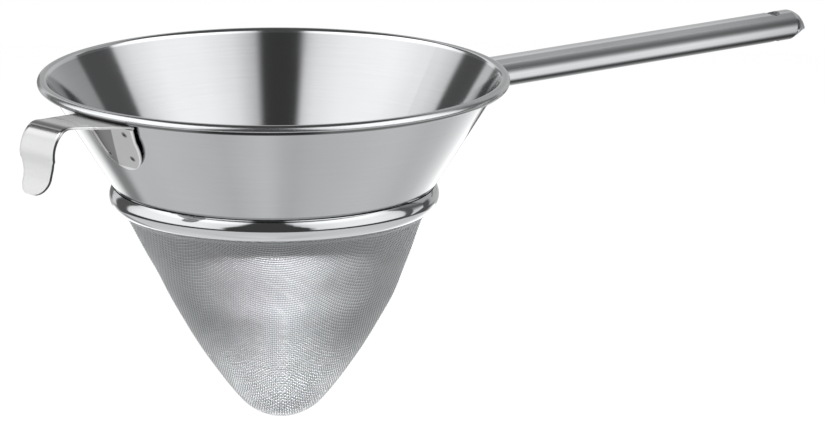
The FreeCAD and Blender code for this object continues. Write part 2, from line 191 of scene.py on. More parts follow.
# %% [markdown]
# `new_piece` makes an object from points and shades it smooth except at hard edges. `loft` lays a skin over
# outlines.

# %% Helpers for meshes
def new_piece(name, vertices, faces, material, stands_for, slot, hard_angle=40):
    """A mesh object from points in millimetres."""
    mesh = bpy.data.meshes.new(name)
    mesh.from_pydata([Vector(point) * MM for point in vertices], [], faces)
    shell = bmesh.new()
    shell.from_mesh(mesh)
    bmesh.ops.recalc_face_normals(shell, faces=shell.faces)
    shell.to_mesh(mesh)
    shell.free()
    mesh.polygons.foreach_set("use_smooth", [True] * len(mesh.polygons))
    mesh.set_sharp_from_angle(angle=math.radians(hard_angle))
    piece = bpy.data.objects.new(name, mesh)
    scene.collection.objects.link(piece)
    return register(piece, material, stands_for)


def register(piece, material, stands_for):
    """Gives a piece its material and its place in the frame."""
    piece.data.materials.clear()
    piece.data.materials.append(material)
    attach(piece, "root")
    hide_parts(stands_for)
    print(piece.name, "has", len(piece.data.polygons), "faces")
    return piece


def loft(rings):
    """Vertices and faces of a closed skin over rings of equally many points, capped at both ends."""
    count = len(rings[0])
    vertices = [point for ring in rings for point in ring]
    faces = [tuple(reversed(range(count)))]
    for start in range(0, len(vertices) - count, count):
        for index in range(count):
            after = (index + 1) % count
            faces.append((start + index, start + after, start + count + after, start + count + index))
    faces.append(tuple(range(len(vertices) - count, len(vertices))))
    return vertices, faces


# %% [markdown]
# ## Steel
# Worked steel carries fine marks along the direction in which it was rolled, spun or polished, and faint
# smudges. Every material could have its own noise, but the effect is the same on all of them, so they share
# one node group. It stretches noise along the grain and adds broad soft smudges. Its outputs only feed the
# colour, the roughness and the bump of each material, so each material keeps its own shader.

# %% Shared steel finish
MARK_ROUGHNESS = 0.6
finish = bpy.data.node_groups.new("steel_finish", "ShaderNodeTree")
add_sockets(finish, "INPUT", Colour="Color", Roughness="Float", Grain="Vector", Marks="Float",
            Smudges="Float")
add_sockets(finish, "OUTPUT", Colour="Color", Roughness="Float", Height="Float")
given = finish.nodes.new("NodeGroupInput").outputs
place = object_place(finish)
stretched = vector_node(finish, "MULTIPLY", place, given["Grain"])
marks = add_node(finish, "ShaderNodeTexNoise", Vector=stretched, Scale=1.0, Detail=4.0,
                 Roughness=0.6).outputs["Fac"]
smudge = add_node(finish, "ShaderNodeTexNoise", Vector=place, Scale=28.0, Detail=3.0,
                  Roughness=0.5).outputs["Fac"]
mark_shift = times(finish, math_node(finish, "SUBTRACT", marks, 0.5), given["Marks"])
smudge_shift = times(finish, math_node(finish, "SUBTRACT", smudge, 0.5), given["Smudges"])
shift = math_node(finish, "ADD", mark_shift, smudge_shift)
tint = scaled(finish, given["Colour"], math_node(finish, "SUBTRACT", 1.0, shift))
rough = math_node(finish, "ADD", given["Roughness"], times(finish, shift, MARK_ROUGHNESS))
add_node(finish, "NodeGroupOutput", Colour=tint, Roughness=rough, Height=marks)
print("steel_finish has", len(finish.nodes), "nodes")

# %% [markdown]
# `steel` makes one material from the group. Metallic is 1 everywhere, because bare steel has no colour of its
# own under its reflections. `shade` multiplies a material's colour by a factor, which here mostly paints
# light and shade into the colour. `roughen` adds to its roughness, where a finish changes from place to
# place. Both take a function that builds the value.

# %% Functions for steel materials
BUMP_HEIGHT = 0.1 * MM


def steel(name, colour, roughness, grain, marks, smudges, bump):
    """A steel material with the shared finish."""
    material = bpy.data.materials.new(name)
    material.use_nodes = True
    tree = material.node_tree
    shader = tree.nodes["Principled BSDF"]
    shader.inputs["Metallic"].default_value = 1.0
    group = add_node(tree, "ShaderNodeGroup", {"node_tree": finish}, Colour=(*colour, 1), Roughness=roughness,
                     Grain=grain, Marks=marks, Smudges=smudges)
    relief = add_node(tree, "ShaderNodeBump", Strength=bump, Distance=BUMP_HEIGHT,
                      Height=group.outputs["Height"])
    put(tree, shader.inputs["Base Color"], group.outputs["Colour"])
    put(tree, shader.inputs["Roughness"], group.outputs["Roughness"])
    put(tree, shader.inputs["Normal"], relief.outputs[0])
    return material


def shade(material, factor):
    """Multiplies a steel material's colour by a factor that the given function builds in its tree."""
    tree = material.node_tree
    colour = tree.nodes["Principled BSDF"].inputs["Base Color"]
    put(tree, colour, scaled(tree, colour.links[0].from_socket, factor(tree)))


def roughen(material, extra):
    """Adds roughness to a steel material, by a value that the given function builds in its tree."""
    tree = material.node_tree
    roughness = tree.nodes["Principled BSDF"].inputs["Roughness"]
    put(tree, roughness, math_node(tree, "ADD", roughness.links[0].from_socket, extra(tree)))


# %% [markdown]
# The collar and the ring are spun, so their grain is level. The handle and the hook are drawn and polished
# along their length. The ring is the smoothest, the welds are dark and rough.

# %% Steel materials
LEVEL_GRAIN = (30, 30, 2400)
LENGTH_GRAIN = (25, 1800, 1800)
collar_steel = steel("collar_steel", (0.447, 0.454, 0.461), roughness=0.10, grain=LEVEL_GRAIN,
                     marks=0.08, smudges=0.08, bump=0.03)
ring_steel = steel("ring_steel", (0.566, 0.575, 0.585), roughness=0.08, grain=LEVEL_GRAIN,
                   marks=0.05, smudges=0.06, bump=0.01)
mesh_steel = steel("mesh_steel", (0.417, 0.426, 0.434), roughness=0.50, grain=(300, 300, 300),
                   marks=0.15, smudges=0.15, bump=0.02)
handle_steel = steel("handle_steel", (0.738, 0.752, 0.764), roughness=0.15, grain=LENGTH_GRAIN,
                     marks=0.12, smudges=0.08, bump=0.03)
hook_steel = steel("hook_steel", (0.72, 0.722, 0.724), roughness=0.15, grain=LENGTH_GRAIN,
                   marks=0.10, smudges=0.10, bump=0.03)
weld_steel = steel("weld_steel", (0.22, 0.218, 0.215), roughness=0.38, grain=(900, 900, 900),
                   marks=0.35, smudges=0.40, bump=0.25)
wire_steel = steel("wire_steel", (0.50, 0.50, 0.50), roughness=0.30, grain=(200, 200, 200),
                   marks=0.10, smudges=0.10, bump=0.02)
node_looks = {"collar": collar_steel, "rim_wire": wire_steel, "clamp_ring_outer": ring_steel,
              "clamp_ring_inner": ring_steel, "mesh_edge_wire": wire_steel, "mesh_bag": mesh_steel,
              "handle_tube": handle_steel, "handle_weld": weld_steel, "pot_hook": hook_steel,
              "hook_spot_welds": weld_steel}
for node, look in node_looks.items():
    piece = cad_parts[node]
    piece.data.materials.clear()
    piece.data.materials.append(look)
print("steel materials:", len(set(node_looks.values())))

# %% [markdown]
# ## The rolled rim
# The collar's edge is rolled round a wire. Its outer half and its inner edge get a painted highlight, and the
# crevice under it gets painted shade, darkest on the front side. No studio was found that mirrors it so, and
# therefore these reflections and this shade are painted into the colour. They follow the angle round the
# rim's curl, 90 degrees at its top and -90 at its foot.

# %% Finish of the rim: roughness, painted highlights and painted shade
CURL_RADIUS, CURL_DEPTH = 97.85 * MM, 2.15 * MM
CURL_EDGE, CURL_END = 2.6 * MM, 2.9 * MM
# Tones round the curl: painted highlights on the outer half and inner edge, painted shade underneath.
RIM_PAINTED_LIGHT = ((-180, 1.0), (-110, 1.0), (-95, 0.3), (-60, 0.25), (-22, 0.3), (-6, 1.35), (10, 1.6),
             (40, 1.25), (70, 1.0), (122, 1.05), (138, 1.6), (165, 1.6), (178, 1.0), (180, 1.0))
BRIGHTEST_RIM_HIGHLIGHT = 1.6
FRONT_SIDE = (-0.719, -0.695, 0)
FRONT_START, FRONT_FULL = 0.95, 0.985
# The crevice under the curl gets painted shade, darkest on the front side.
CREVICE_SHADE_START, CREVICE_SHADE_FULL, CREVICE_PAINTED_SHADE = -8.0, -18.0, 0.05
BRUSHED_LOW, BRUSHED_HIGH, BRUSHED_SOFT, BRUSHED_EXTRA = -60.0, 55.0, 10.0, 0.12


def curl_angle(tree):
    """The angle round the rim's curl in degrees, and a mask that is 1 on the curl."""
    place = object_place(tree)
    height = math_node(tree, "ADD", parts_of(tree, place)["Z"], CURL_DEPTH)
    from_axis = vector_value(tree, "LENGTH", level_part(tree, place))
    outwards = math_node(tree, "SUBTRACT", from_axis, CURL_RADIUS)
    angle = times(tree, math_node(tree, "ARCTAN2", height, outwards), 180 / math.pi)
    squares = [times(tree, side, side) for side in (height, outwards)]
    distance = math_node(tree, "SQRT", math_node(tree, "ADD", *squares))
    return angle, soft_step(tree, distance, CURL_EDGE, CURL_END, 1.0, 0.0)


def rim_painted_light(tree):
    """The factor for the rim's colour: painted highlights on its outer half and inner edge, and painted shade
    in the crevice, darkest on the front side.
    """
    angle, on_curl = curl_angle(tree)
    way = vector_node(tree, "NORMALIZE", level_part(tree, object_place(tree)))
    to_front = vector_value(tree, "DOT_PRODUCT", way, FRONT_SIDE)
    front_crevice_shade = times(tree, soft_step(tree, to_front, FRONT_START, FRONT_FULL),
                          soft_step(tree, angle, CREVICE_SHADE_START, CREVICE_SHADE_FULL))
    tone = blend(tree, graph(tree, angle, RIM_PAINTED_LIGHT, BRIGHTEST_RIM_HIGHLIGHT), CREVICE_PAINTED_SHADE, front_crevice_shade)
    return blend(tree, 1.0, tone, on_curl)


def rim_roughness(tree):
    """The extra roughness of the rim's outer half."""
    angle, on_curl = curl_angle(tree)
    brushed = times(tree, on_curl, band(tree, angle, BRUSHED_LOW, BRUSHED_HIGH, BRUSHED_SOFT))
    return times(tree, brushed, BRUSHED_EXTRA)


shade(collar_steel, rim_painted_light)
roughen(collar_steel, rim_roughness)
print("the rim's tone has", len(RIM_PAINTED_LIGHT), "stops")

# %% [markdown]
# ## The handle
# The handle is a polished tube. Its colour is painted darker towards its end, as a painted darker reflection.
# Its tip and the wall of its hanging hole are rougher than the tube. A second material would need a change to
# the CAD node's faces, so the place along the handle and the distance from the hole's axis tell them apart.

# %% Finish of the handle: roughness and painted shade
# Painted shade along the handle: its colour darkens towards the end, in place of a darker reflection.
HANDLE_PAINTED_SHADE = ((0.25, 1.0), (0.29, 0.87), (0.32, 0.72), (0.34, 0.72))
TIP_EDGE, TIP_FULL, TIP_EXTRA = 321.5 * MM, 323.5 * MM, 0.4
HOLE_PLACE, HOLE_EDGE, HOLE_SOFT, HOLE_EXTRA = (309.4 * MM, 0, 0), 3.85 * MM, 0.1 * MM, 0.8


def handle_painted_shade(tree):
    """The factor for the handle's colour along its length: painted shade, darker towards its end."""
    return graph(tree, parts_of(tree, object_place(tree))["X"], HANDLE_PAINTED_SHADE, 1.0)


def handle_roughness(tree):
    """The extra roughness of the handle: its tip and the drilled wall of the hanging hole."""
    place = object_place(tree)
    on_tip = soft_step(tree, parts_of(tree, place)["X"], TIP_EDGE, TIP_FULL)
    from_axis = vector_node(tree, "SUBTRACT", level_part(tree, place), HOLE_PLACE)
    distance = vector_value(tree, "LENGTH", from_axis)
    hole = soft_step(tree, distance, HOLE_EDGE - HOLE_SOFT, HOLE_EDGE, HOLE_EXTRA, 0.0)
    return math_node(tree, "MAXIMUM", times(tree, on_tip, TIP_EXTRA), hole)


shade(handle_steel, handle_painted_shade)
roughen(handle_steel, handle_roughness)
print("the handle's tip starts at", TIP_EDGE, "m")

# %% [markdown]
# ## The woven bag
# The bag is wire cloth drawn into a rounded cone. A shell with a painted weave would be lighter, but its
# outline would be smooth, so here each wire is real. The bag starts as flat cloth: two sets of straight
# wires that cross at right angles and pass over and under each other. Drawing the cloth into a bag keeps
# each point's distance from the middle along the bag's side line, so a flat point at distance d from the
# middle lands d along that line, at the same angle.

# %% [markdown]
# First comes the side line: from the tip, round the belly, straight up to the clamp ring. Millimetres.
# Cloth doesn't fold where the belly ends, so the points near that corner move to the middle of their
# neighbours. Then the cloth hangs: it is drawn in under the ring, fuller at the waist and flatter above the
# tip.

# %% Functions for the side line
DRAWN_IN, FULLER, FLATTER = 1.4, 0.7, 0.3
NECK_SPAN, WAIST_SPAN, FOOT_SPAN = (57.2, 58.6, 80.0), (78.0, 93.0, 108.0), (108.0, 124.0, 140.0)
EASED_POINTS, NEIGHBOURS = 30, 10


def arc_points(start, end, radius, count):
    """Points from start to end on a circle of a given radius, bulging to the right of the way."""
    start, end = Vector(start), Vector(end)
    chord = end - start
    right = Vector((chord.y, -chord.x)).normalized()
    centre = (start + end) / 2 - right * math.sqrt(radius ** 2 - chord.length_squared / 4)
    first = math.atan2(*(start - centre).yx)
    last = math.atan2(*(end - centre).yx)
    angles = [first + (last - first) * step / count for step in range(count + 1)]
    return [centre + radius * Vector((math.cos(angle), math.sin(angle))) for angle in angles]


def ease_corner(line, corner):
    """A line whose points near a corner lie in the middle of their neighbours."""
    softer = list(line)
    for index in range(corner - EASED_POINTS + 1, corner + EASED_POINTS):
        near = line[index - NEIGHBOURS:index + NEIGHBOURS + 1]
        softer[index] = sum(near, Vector((0, 0))) / len(near)
    return softer


def eased(value, start, end):
    """0 on the side of start, 1 on the side of end and a soft step between."""
    share = min(max((value - start) / (end - start), 0), 1)
    return share * share * (3 - 2 * share)


def swell(depth, start, fullest, end):
    """0 above start and below end, and 1 at the fullest depth."""
    return eased(depth, start, fullest) * eased(depth, end, fullest)


def hang(depth):
    """How far the cloth stands out from the even bag at a depth."""
    return (FULLER * swell(depth, *WAIST_SPAN) - DRAWN_IN * swell(depth, *NECK_SPAN)
            - FLATTER * swell(depth, *FOOT_SPAN))


# %% [markdown]
# The sizes are those of the CAD's bag, apart from the hang and a tip 1 mm higher. The wires run in the
# middle of its wall, so the line moves half a wall inwards, and up at the tip. It goes to the tree as a
# curve.

# %% Side line of the bag
BAG_DEPTH = 148.3
TIP_RADIUS, TIP_DEPTH, TIP_STEPS = 17.5, 140.5, 24
WAIST_RADIUS, WAIST_DEPTH, BELLY_STEPS = 49.0, 89.98, 60
MOUTH_RADIUS, MOUTH_DEPTH, STRAIGHT_STEPS = 68.93, 51.25, 60
BELLY_ARC = 182.0
WALL = 1.0
POLE_RADIUS = 1.0
tip_rise = BAG_DEPTH - TIP_DEPTH
tip_sphere = (TIP_RADIUS ** 2 + tip_rise ** 2) / (2 * tip_rise)
tip_edge, waist = (TIP_RADIUS, -TIP_DEPTH), Vector((WAIST_RADIUS, -WAIST_DEPTH))
side_line = arc_points((0, -BAG_DEPTH), tip_edge, tip_sphere, TIP_STEPS)
side_line += arc_points(tip_edge, waist, BELLY_ARC, BELLY_STEPS)[1:]
corner = len(side_line) - 1
for step in range(1, STRAIGHT_STEPS + 1):
    side_line.append(side_line[corner].lerp(Vector((MOUTH_RADIUS, -MOUTH_DEPTH)), step / STRAIGHT_STEPS))
side_line = [Vector((spot.x + hang(-spot.y), spot.y)) for spot in ease_corner(side_line, corner)]
middle_line = []
for spot in side_line:
    lift = WALL / 2 if spot.x < POLE_RADIUS else 0
    middle_line.append(Vector((max(spot.x - WALL / 2, 0), spot.y + lift)))
cloth_radius = sum((after - before).length for before, after in zip(middle_line, middle_line[1:]))
curve = bpy.data.curves.new("bag_side_line", "CURVE")
curve.dimensions = "3D"
spline = curve.splines.new("POLY")
spline.points.add(len(middle_line) - 1)
for point, spot in zip(spline.points, middle_line):
    point.co = (spot.x * MM, 0, spot.y * MM, 1)
side_object = bpy.data.objects.new("bag_side_line", curve)
scene.collection.objects.link(side_object)
print("cloth radius", round(cloth_radius, 1), "mm")

# %% [markdown]
# A Geometry Nodes tree weaves the wires, because hundreds of them follow one rule. These are its inputs. It
# first lays straight rows of points, one point per crossing.

# %% Weaving tree: rows of flat cloth
weave = bpy.data.node_groups.new("weave_bag", "GeometryNodeTree")
add_sockets(weave, "INPUT", Side_Line="Object", Pitch="Float", Wire_Radius="Float", First_Row="Int",
            Rows="Int", Points="Int", Turn="Float", Cloth_Radius="Float", Lean="Vector", Ripple="Float",
            Material="Material")
add_sockets(weave, "OUTPUT", Wires="Geometry")
given = weave.nodes.new("NodeGroupInput").outputs
pitch = given["Pitch"]
length = times(weave, math_node(weave, "SUBTRACT", given["Points"], 1.0), pitch)
half = times(weave, length, 0.5)
row_start = vector_of(weave, X=times(weave, half, -1.0))
row_end = vector_of(weave, X=half)
line = output(weave, "GeometryNodeCurvePrimitiveLine", Start=row_start, End=row_end)
row = output(weave, "GeometryNodeResampleCurve", Curve=line, Count=given["Points"])
first_y = times(weave, math_node(weave, "ADD", given["First Row"], 0.5), pitch)
rows = output(weave, "GeometryNodeMeshLine", {"mode": "OFFSET"}, Count=given["Rows"],
              Start_Location=vector_of(weave, Y=first_y), Offset=vector_of(weave, Y=pitch))
copies = output(weave, "GeometryNodeInstanceOnPoints", Points=rows, Instance=row)
flat = output(weave, "GeometryNodeRealizeInstances", Geometry=copies)
print("weave_bag lays rows with", len(weave.nodes), "nodes")

# %% [markdown]
# Points outside the round cloth are cut off. The sign of the over and under step changes from one crossing
# to the next, like the squares of a chessboard. Turning the whole cloth by a quarter turn gives the second
# set of wires, and its steps then come out the other way round, so the two sets interlock.

# %% Weaving tree: over and under
position = output(weave, "GeometryNodeInputPosition")
reach = vector_value(weave, "LENGTH", position)
outside = math_node(weave, "GREATER_THAN", reach, given["Cloth Radius"])
trimmed = output(weave, "GeometryNodeDeleteGeometry", {"domain": "POINT"}, Geometry=flat, Selection=outside)
parts = parts_of(weave, position)
angle = math_node(weave, "ADD", math_node(weave, "ARCTAN2", parts["Y"], parts["X"]), given["Turn"])
columns, lines = [math_node(weave, "FLOOR", math_node(weave, "DIVIDE", parts[axis], pitch)) for axis in "XY"]
odd = math_node(weave, "FLOORED_MODULO", math_node(weave, "ADD", columns, lines), 2.0)
sign = math_node(weave, "SUBTRACT", 1.0, times(weave, odd, 2.0))
step = times(weave, sign, given["Wire Radius"])
cloth = output(weave, "GeometryNodeStoreNamedAttribute", {"data_type": "FLOAT", "domain": "POINT"},
               Geometry=trimmed, Name="over", Value=sign)
print("weave_bag steps over and under with", len(weave.nodes), "nodes")

# %% [markdown]
# Each point then moves to its place on the side line, and its step goes straight out of the cloth there. A
# little noise ripples the cloth, and below the ring the bag leans more and more to one side.

# %% Weaving tree: place on the bag
LEAN_START, LEAN_END = 50.0, 97.0
side = add_node(weave, "GeometryNodeObjectInfo", Object=given["Side Line"]).outputs["Geometry"]
sample = add_node(weave, "GeometryNodeSampleCurve", {"mode": "LENGTH"}, Curves=side, Length=reach).outputs
spot = parts_of(weave, sample["Position"])
way = parts_of(weave, sample["Tangent"])
noise = add_node(weave, "ShaderNodeTexNoise", Vector=position, Scale=42.0, Detail=1.0).outputs["Fac"]
ripple = times(weave, math_node(weave, "SUBTRACT", noise, 0.5), given["Ripple"])
lift = math_node(weave, "ADD", step, ripple)
radius = math_node(weave, "ADD", spot["X"], times(weave, way["Z"], lift))
height = math_node(weave, "SUBTRACT", spot["Z"], times(weave, way["X"], lift))
round_x, round_y = [times(weave, radius, math_node(weave, operation, angle))
                    for operation in ("COSINE", "SINE")]
round_place = vector_of(weave, X=round_x, Y=round_y, Z=height)
lean = scaled(weave, given["Lean"], soft_step(weave, height, -LEAN_START * MM, -LEAN_END * MM))
leaning = vector_node(weave, "ADD", round_place, lean)
drawn = output(weave, "GeometryNodeSetPosition", Geometry=cloth, Position=leaning)
print("weave_bag draws the bag with", len(weave.nodes), "nodes")

# %% [markdown]
# Last, a thin tube with four sides and closed ends follows every row. The tree stores how far each of its
# points looks outwards, seen from a point on the bag's axis, which the material uses later.

# %% Weaving tree: wires
MIDDLE_DEPTH = 59.25
profile = output(weave, "GeometryNodeCurvePrimitiveCircle", Resolution=4, Radius=given["Wire Radius"])
tubes = output(weave, "GeometryNodeCurveToMesh", Curve=drawn, Profile_Curve=profile, Fill_Caps=True)
middle = vector_node(weave, "ADD", given["Lean"], (0, 0, -MIDDLE_DEPTH * MM))
outwards = vector_node(weave, "NORMALIZE", vector_node(weave, "SUBTRACT", position, middle))
normal = output(weave, "GeometryNodeInputNormal")
facing = vector_value(weave, "DOT_PRODUCT", outwards, normal)
facing_tubes = output(weave, "GeometryNodeStoreNamedAttribute", {"data_type": "FLOAT", "domain": "POINT"},
                      Geometry=tubes, Name="outwards", Value=facing)
smooth = output(weave, "GeometryNodeSetShadeSmooth", Geometry=facing_tubes)
whole = output(weave, "GeometryNodeRealizeInstances", Geometry=smooth)
painted = output(weave, "GeometryNodeSetMaterial", Geometry=whole, Material=given["Material"])
add_node(weave, "NodeGroupOutput", Wires=painted)
print("weave_bag has", len(weave.nodes), "nodes")

# %% [markdown]
# Each set of wires is woven in two halves, so that no single mesh gets too heavy. A modifier on an empty
# mesh runs the tree, and `new_from_object` keeps its result as a plain mesh. One set of wires lies along
# the direction that the photograph was taken from.

# %% Weave the bag
PITCH, WIRE, RIPPLE = 1.15, 0.30, 0.12
LEAN = Vector((2.089, -2.011, 0.0))
CLOTH_TURN = math.radians(-132.5)
SPARE_POINTS = 4
half_rows = int(cloth_radius / PITCH) - 1
sockets = {item.name: item.identifier for item in weave.interface.items_tree if item.in_out == "INPUT"}


def weave_half(name, turn, first_row):
    """Weaves one half of one set of wires and returns it as a plain object."""
    carrier = bpy.data.objects.new(name, bpy.data.meshes.new(name + "_start"))
    scene.collection.objects.link(carrier)
    modifier = carrier.modifiers.new("weave", "NODES")
    modifier.node_group = weave
    settings = {"Side Line": side_object, "Pitch": PITCH * MM, "Wire Radius": WIRE * MM,
                "First Row": first_row, "Rows": half_rows, "Points": 2 * half_rows + SPARE_POINTS,
                "Turn": turn, "Cloth Radius": cloth_radius * MM, "Lean": LEAN * MM,
                "Ripple": RIPPLE * MM, "Material": mesh_steel}
    for label, value in settings.items():
        modifier[sockets[label]] = value
    woven = bpy.data.meshes.new_from_object(carrier.evaluated_get(bpy.context.evaluated_depsgraph_get()))
    carrier.modifiers.clear()
    carrier.data = woven
    woven.name = name
    return register(carrier, mesh_steel, "mesh_bag")


bag_wires = []
for number, turn in enumerate((CLOTH_TURN, CLOTH_TURN + math.pi / 2), start=1):
    bag_wires.append(weave_half(f"bag_wires_{number}a", turn, -half_rows))
    bag_wires.append(weave_half(f"bag_wires_{number}b", turn, 0))
bpy.data.objects.remove(side_object)

# %% [markdown]
# The tree also stored where each wire lies over its neighbours, and which of its faces look out of the bag.
# The mesh material reads both values and paints light and shade into the wires' colour: a painted highlight
# on top of the weave and on faces that look out, painted shade where they dive under, and the deepest painted
# shade inside the bag.

# %% Painted light and shade of the weave
# Painted shade under the crossings and inside the bag, painted highlights on top of the weave and outside.
UNDER_PAINTED_SHADE, OVER_PAINTED_HIGHLIGHT = 0.1, 1.36
INSIDE, OUTSIDE = -0.5, 0.6
INSIDE_PAINTED_SHADE, OUTSIDE_PAINTED_HIGHLIGHT = 0.2, 1.1


def weave_painted_light(tree):
    """The factor for the wires' colour: painted highlights and painted shade."""
    crossing_painted_light = soft_step(tree, stored(tree, "over"), -1.0, 1.0, UNDER_PAINTED_SHADE, OVER_PAINTED_HIGHLIGHT)
    side_painted_light = soft_step(tree, stored(tree, "outwards"), INSIDE, OUTSIDE, INSIDE_PAINTED_SHADE, OUTSIDE_PAINTED_HIGHLIGHT)
    return times(tree, crossing_painted_light, side_painted_light)


shade(mesh_steel, weave_painted_light)
print("wires run from tone", UNDER_PAINTED_SHADE, "to", OVER_PAINTED_HIGHLIGHT)

# %% [markdown]
# ## The pot hook
# The hook is a strip of sheet that was cut, bent and welded to the collar. Modifiers could bend a flat
# strip, but a skin over outlines along a path gives each fold its own radius. The path is seen from the
# side: r runs outwards from the collar's axis and z up. It goes up the tab, round the fold, out along the
# arm, over the bend in two arcs and down the waved drop. Each stop keeps its place and its direction.

# %% Functions for the hook's path
def arc_stops(centre, radius, start, end, count):
    """Stops on an arc, as place and direction, in degrees. The way round follows from start and end."""
    way = 1 if end > start else -1
    stops = []
    for step in range(count + 1):
        angle = math.radians(start + (end - start) * step / count)
        out = Vector((math.cos(angle), math.sin(angle)))
        stops.append((Vector(centre) + radius * out, Vector((-out.y, out.x)) * way))
    return stops


def line_stops(start, end, count):
    """Stops on a line, as place and direction."""
    start, end = Vector(start), Vector(end)
    return [(start.lerp(end, step / count), (end - start).normalized()) for step in range(count + 1)]


def round_share(step, count):
    """Steps that lie closer together towards the first one, for a rounded end."""
    return 1 - math.cos(math.pi / 2 * step / count)


# %% [markdown]
# The path's places and radii are millimetres, its angles degrees. Stops are close together where the strip
# bends and where its ends are round.

# %% Path of the hook
CONE = math.radians(32.1)
TAB_HALF, TAB_ROUND_STEPS = 14.5, 16
TAB_ANGLE, ARM_ANGLE, BEND_ANGLE, TUCK_ANGLE = 147.9, 95.5, 50.0, -9.0
WAVE_ANGLES = (171.0, 191.0, 209.9)
FOLD_CENTRE, FOLD_RADIUS = (95.90, -7.87), 2.6
ARM_START, ARM_END = (96.48, -5.28), (122.243, -2.803)
TIGHT_CENTRE, TIGHT_RADIUS = (122.818, -8.775), 6.0
WIDE_CENTRE, WIDE_RADIUS = (118.678, -13.709), 12.441
WAVE_CENTRE, WAVE_RADIUS = (153.288, -19.19), 22.6
tab_foot, tab_top = Vector((81.17, -27.8)), Vector((94.53, -6.49))
tab_round = TAB_HALF / math.cos(CONE) / (tab_top - tab_foot).length
tab_direction = (tab_top - tab_foot).normalized()
tab_stops = []
for step in range(TAB_ROUND_STEPS + 1):
    share = tab_round * round_share(step, TAB_ROUND_STEPS)
    tab_stops.append((tab_foot.lerp(tab_top, share), tab_direction))
path = tab_stops + line_stops(tab_foot.lerp(tab_top, tab_round), tab_top, count=6)[1:]
path += arc_stops(FOLD_CENTRE, FOLD_RADIUS, TAB_ANGLE, ARM_ANGLE, count=8)[1:]
path += line_stops(ARM_START, ARM_END, count=11)[1:]
path += arc_stops(TIGHT_CENTRE, TIGHT_RADIUS, ARM_ANGLE, BEND_ANGLE, count=12)[1:]
drop_start = len(path)
path += arc_stops(WIDE_CENTRE, WIDE_RADIUS, BEND_ANGLE, TUCK_ANGLE, count=16)[1:]
wave_start = len(path)
path += arc_stops(WAVE_CENTRE, WAVE_RADIUS, *WAVE_ANGLES[:2], count=8)[1:]
path += arc_stops(WAVE_CENTRE, WAVE_RADIUS, *WAVE_ANGLES[1:], count=24)[1:]
print("hook path has", len(path), "stops")

# %% [markdown]
# The half widths follow the outline of the flat strip: a tongue on the collar, a tapering arm and a drop
# that narrows to a rounded end, a little squarer on its far side. Depths are measured down from the rim.

# %% Half widths of the hook
ROOT_HALF, ARM_HALF, DROP_HALF = 17.5, 10.7, 8.6
ROOT_REACH, BEND_REACH = 94.87, 120.2
ROOT_DEPTH, TAB_ROUND_DEPTH = 5.98, 13.3
DROP_TOP_DEPTH, DROP_ROUND_DEPTH = 13.95, 21.9
CORNER_DEPTH, CORNER_RADIUS = 25.5, 5.0
TAB_LEAST, DROP_LEAST = 0.5, 0.2


def rounded(half, run, least):
    """The half width of a round end, a run past the start of its rounding."""
    return math.sqrt(max(half ** 2 - max(run, 0) ** 2, least ** 2))


def half_widths(index, r, z):
    """Near and far half width of the strip at a stop."""
    depth = -z
    if index < len(tab_stops):
        half = rounded(TAB_HALF, depth - TAB_ROUND_DEPTH, TAB_LEAST)
        return half, half
    if r < ROOT_REACH:
        share = (depth - ROOT_DEPTH) / (TAB_ROUND_DEPTH - ROOT_DEPTH)
        half = ROOT_HALF - (ROOT_HALF - TAB_HALF) * share
        return half, half
    if index < wave_start:
        share = (r - ROOT_REACH) / (BEND_REACH - ROOT_REACH)
        half = max(ROOT_HALF - (ROOT_HALF - ARM_HALF) * share, ARM_HALF)
        return half, half
    share = (depth - DROP_TOP_DEPTH) / (DROP_ROUND_DEPTH - DROP_TOP_DEPTH)
    half = max(ARM_HALF - (ARM_HALF - DROP_HALF) * share, DROP_HALF)
    far = half
    if depth >= CORNER_DEPTH:
        far = DROP_HALF - CORNER_RADIUS + rounded(CORNER_RADIUS, depth - CORNER_DEPTH, 0)
    return rounded(half, depth - DROP_ROUND_DEPTH, DROP_LEAST), far


# %% [markdown]
# Each outline has two flat faces and rounded edges. The far side of the tab hugs the round collar. Every
# point also stores its place across the strip, from -1 to 1, and whether it is on the drop, for the roughness
# and for the painted light and shade of the finish.

# %% Hook strip
SHEET = 1.2
EDGE, EDGE_SHARE, FLAT_STEPS = 0.45, 0.4, 14
EDGE_ANGLES = (60, 25, -25, -60)
HUG_REACH, HUG_DEPTH, HUG_RUN, COLLAR_BEND = 95.0, 6.5, 6.0, 107.5
DROP_FADE = 4


def strip_ring(index):
    """The strip's outline at one stop, and how far across the strip each of its points lies."""
    spot, way = path[index]
    up = Vector((-way.y, way.x))
    near, far = half_widths(index, spot.x, spot.y)
    edge = min(EDGE, EDGE_SHARE * (near + far))
    low, high = -near + edge, far - edge
    flat = [low + (high - low) * step / FLAT_STEPS for step in range(FLAT_STEPS + 1)]
    turns = [(math.cos(math.radians(angle)), math.sin(math.radians(angle))) for angle in EDGE_ANGLES]
    outline = [(y, SHEET / 2) for y in flat]
    outline += [(high + edge * cosine, SHEET / 2 * sine) for cosine, sine in turns]
    outline += [(y, -SHEET / 2) for y in reversed(flat)]
    outline += [(low - edge * cosine, SHEET / 2 * sine) for cosine, sine in reversed(turns)]
    hug = min(max((-spot.y - HUG_DEPTH) / HUG_RUN, 0), 1) if spot.x < HUG_REACH else 0
    ring, shares = [], []
    for y, height in outline:
        place = spot + up * (height + hug * max(y, 0) ** 2 / (2 * COLLAR_BEND))
        ring.append((-place.x, y, place.y))
        shares.append(y / (far if y > 0 else near))
    return ring, shares


rings, across_shares, drop_shares = [], [], []
for index in range(len(path)):
    ring, shares = strip_ring(index)
    rings.append(ring)
    across_shares += shares
    drop_shares += [min(max((index - drop_start) / DROP_FADE, 0), 1)] * len(ring)
hook = new_piece("hook_strip", *loft(rings), hook_steel, "pot_hook", "hook_steel")
for name, values in (("across", across_shares), ("dropping", drop_shares)):
    hook.data.attributes.new(name, "FLOAT", "POINT").data.foreach_set("value", values)
